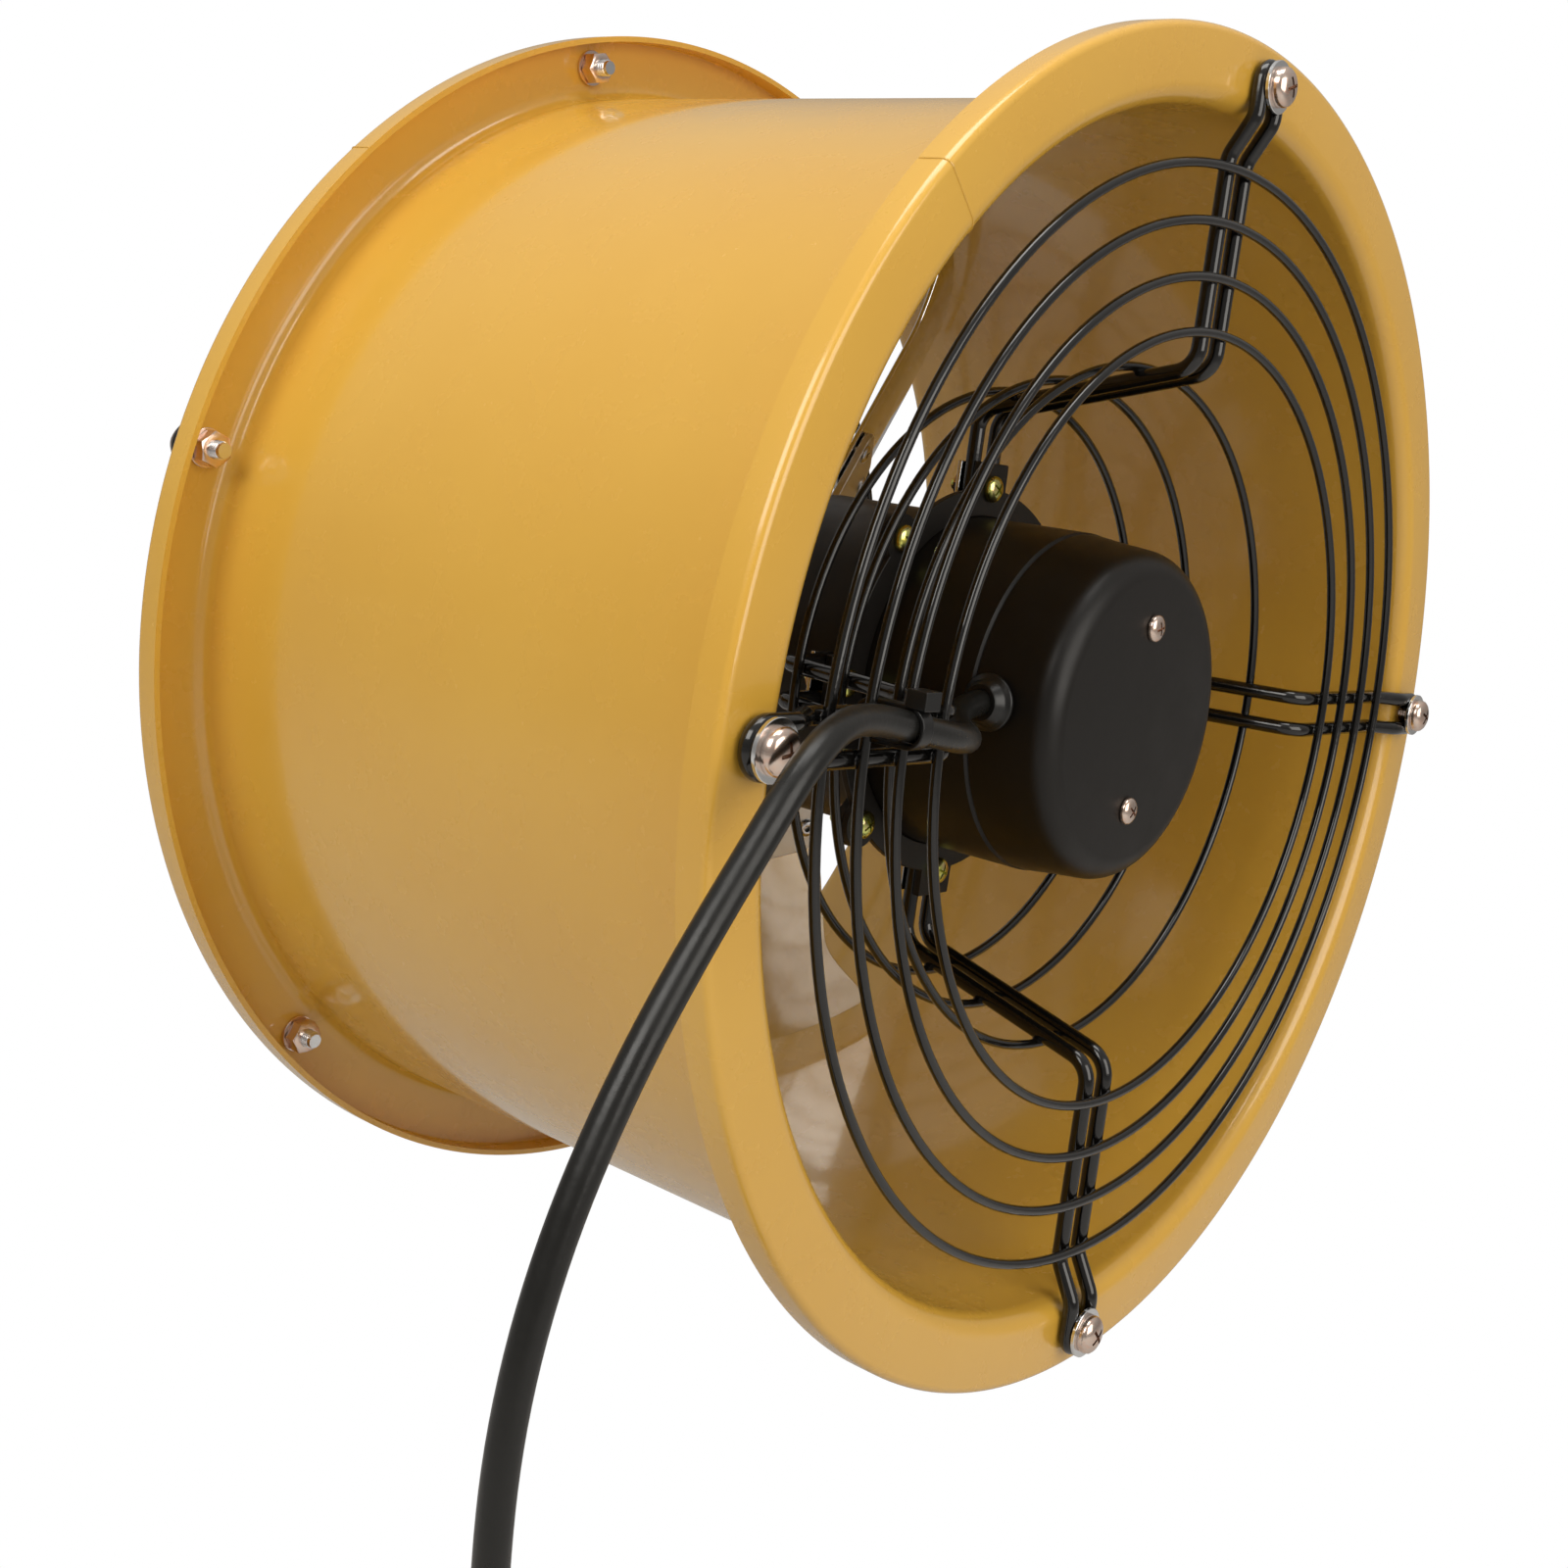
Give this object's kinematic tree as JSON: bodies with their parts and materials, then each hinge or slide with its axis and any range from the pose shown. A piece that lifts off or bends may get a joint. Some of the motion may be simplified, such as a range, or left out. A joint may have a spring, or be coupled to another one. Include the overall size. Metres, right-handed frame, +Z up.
{
  "type": "axial duct fan",
  "caption": "Portable axial duct fan: flanged round duct, hairpin wire guard carrying a central motor, bladed impeller, wire outlet guard and a mains cord with plug",
  "frame": {"origin": "on the duct's axis, in the middle of the outlet flange's lip, 5 mm in from the flange's outer face", "axes": "+Y along the duct's axis from outlet to inlet, so air leaves along -Y; +Z up; +X on the side where the cord leaves the motor cap"},
  "size_m": [0.3971, 0.2376, 0.5285],
  "materials": {
    "yellow_enamel": "gloss",
    "black_dip": "gloss",
    "black_satin": "satin",
    "bright_zinc": "gloss",
    "yellow_zinc": "gloss",
    "tinted_steel": "gloss",
    "blade_sheet": "gloss",
    "machined_steel": "satin",
    "lamination_steel": "satin",
    "enamelled_copper": "gloss",
    "cast_aluminium": "satin",
    "cage_brass": "satin",
    "capacitor_grey": "matte",
    "terminal_white": "matte",
    "lead_blue": "satin",
    "black_nylon": "satin",
    "black_rubber": "matte",
    "cord_rubber": "satin",
    "plug_pin_brass": "gloss"
  },
  "bodies": {
    "housing": {"duct_casing": "yellow_enamel", "inlet_guard_rings": "black_dip", "inlet_basket_rings": "black_dip", "hairpin_top": "black_dip", "hairpin_right": "black_dip", "hairpin_bottom": "black_dip", "hairpin_left": "black_dip", "hairpin_plate": "black_satin", "hairpin_clamp_washers": "bright_zinc", "inlet_guard_washers": "bright_zinc", "inlet_guard_screws": "bright_zinc", "inlet_guard_nuts": "bright_zinc", "outlet_guard_rings": "black_dip", "outlet_guard_spokes": "black_dip", "outlet_guard_disc": "black_dip", "outlet_guard_bolts": "bright_zinc", "outlet_guard_washers": "bright_zinc", "outlet_guard_nuts": "bright_zinc", "motor_rear_cap": "black_satin", "motor_cap_screws": "tinted_steel", "motor_cap_posts": "machined_steel", "motor_rear_shell": "black_satin", "motor_front_shell": "black_satin", "shell_bolts": "yellow_zinc", "shell_nuts": "tinted_steel", "run_capacitor": "capacitor_grey", "terminal_block": "terminal_white", "motor_leads": "lead_blue", "stator_core": "lamination_steel", "stator_winding": "enamelled_copper", "rear_bearing_outer": "machined_steel", "front_bearing_outer": "machined_steel", "wave_washer": "machined_steel", "cord_grommet": "black_rubber", "cord_inner_end": "cord_rubber", "guard_cable_tie": "black_nylon", "power_cord": "cord_rubber", "cord_coil": "cord_rubber", "coil_tie": "black_nylon", "cord_tail": "cord_rubber", "cord_plug": "black_rubber", "plug_pins": "plug_pin_brass"},
    "impeller": {"rotor_core": "lamination_steel", "rotor_end_rings": "cast_aluminium", "motor_shaft": "machined_steel", "shaft_circlips": "machined_steel", "rear_bearing_inner": "machined_steel", "front_bearing_inner": "machined_steel", "shaft_spacer": "machined_steel", "impeller_hub": "cast_aluminium", "blade_1": "blade_sheet", "blade_2": "blade_sheet", "blade_3": "blade_sheet", "blade_rivets": "machined_steel", "hub_washer": "bright_zinc", "hub_nut": "bright_zinc"},
    "rear_cage": {"rear_bearing_balls": "machined_steel", "rear_bearing_cage": "cage_brass"},
    "front_cage": {"front_bearing_balls": "machined_steel", "front_bearing_cage": "cage_brass"}
  },
  "joints": [
    {"name": "impeller_spin", "type": "hinge", "parent": "housing", "child": "impeller", "pos_m": [0, 0.055, 0], "axis": [0, 1, 0], "continuous": true},
    {"name": "rear_cage_spin", "type": "hinge", "parent": "housing", "child": "rear_cage", "pos_m": [0, 0.1479, 0], "axis": [0, 1, 0], "continuous": true},
    {"name": "front_cage_spin", "type": "hinge", "parent": "housing", "child": "front_cage", "pos_m": [0, 0.0725, 0], "axis": [0, 1, 0], "continuous": true}
  ],
  "couplings": [
    {"joint": "rear_cage_spin", "follows": "impeller_spin", "ratio": 0.366},
    {"joint": "front_cage_spin", "follows": "impeller_spin", "ratio": 0.366}
  ]
}
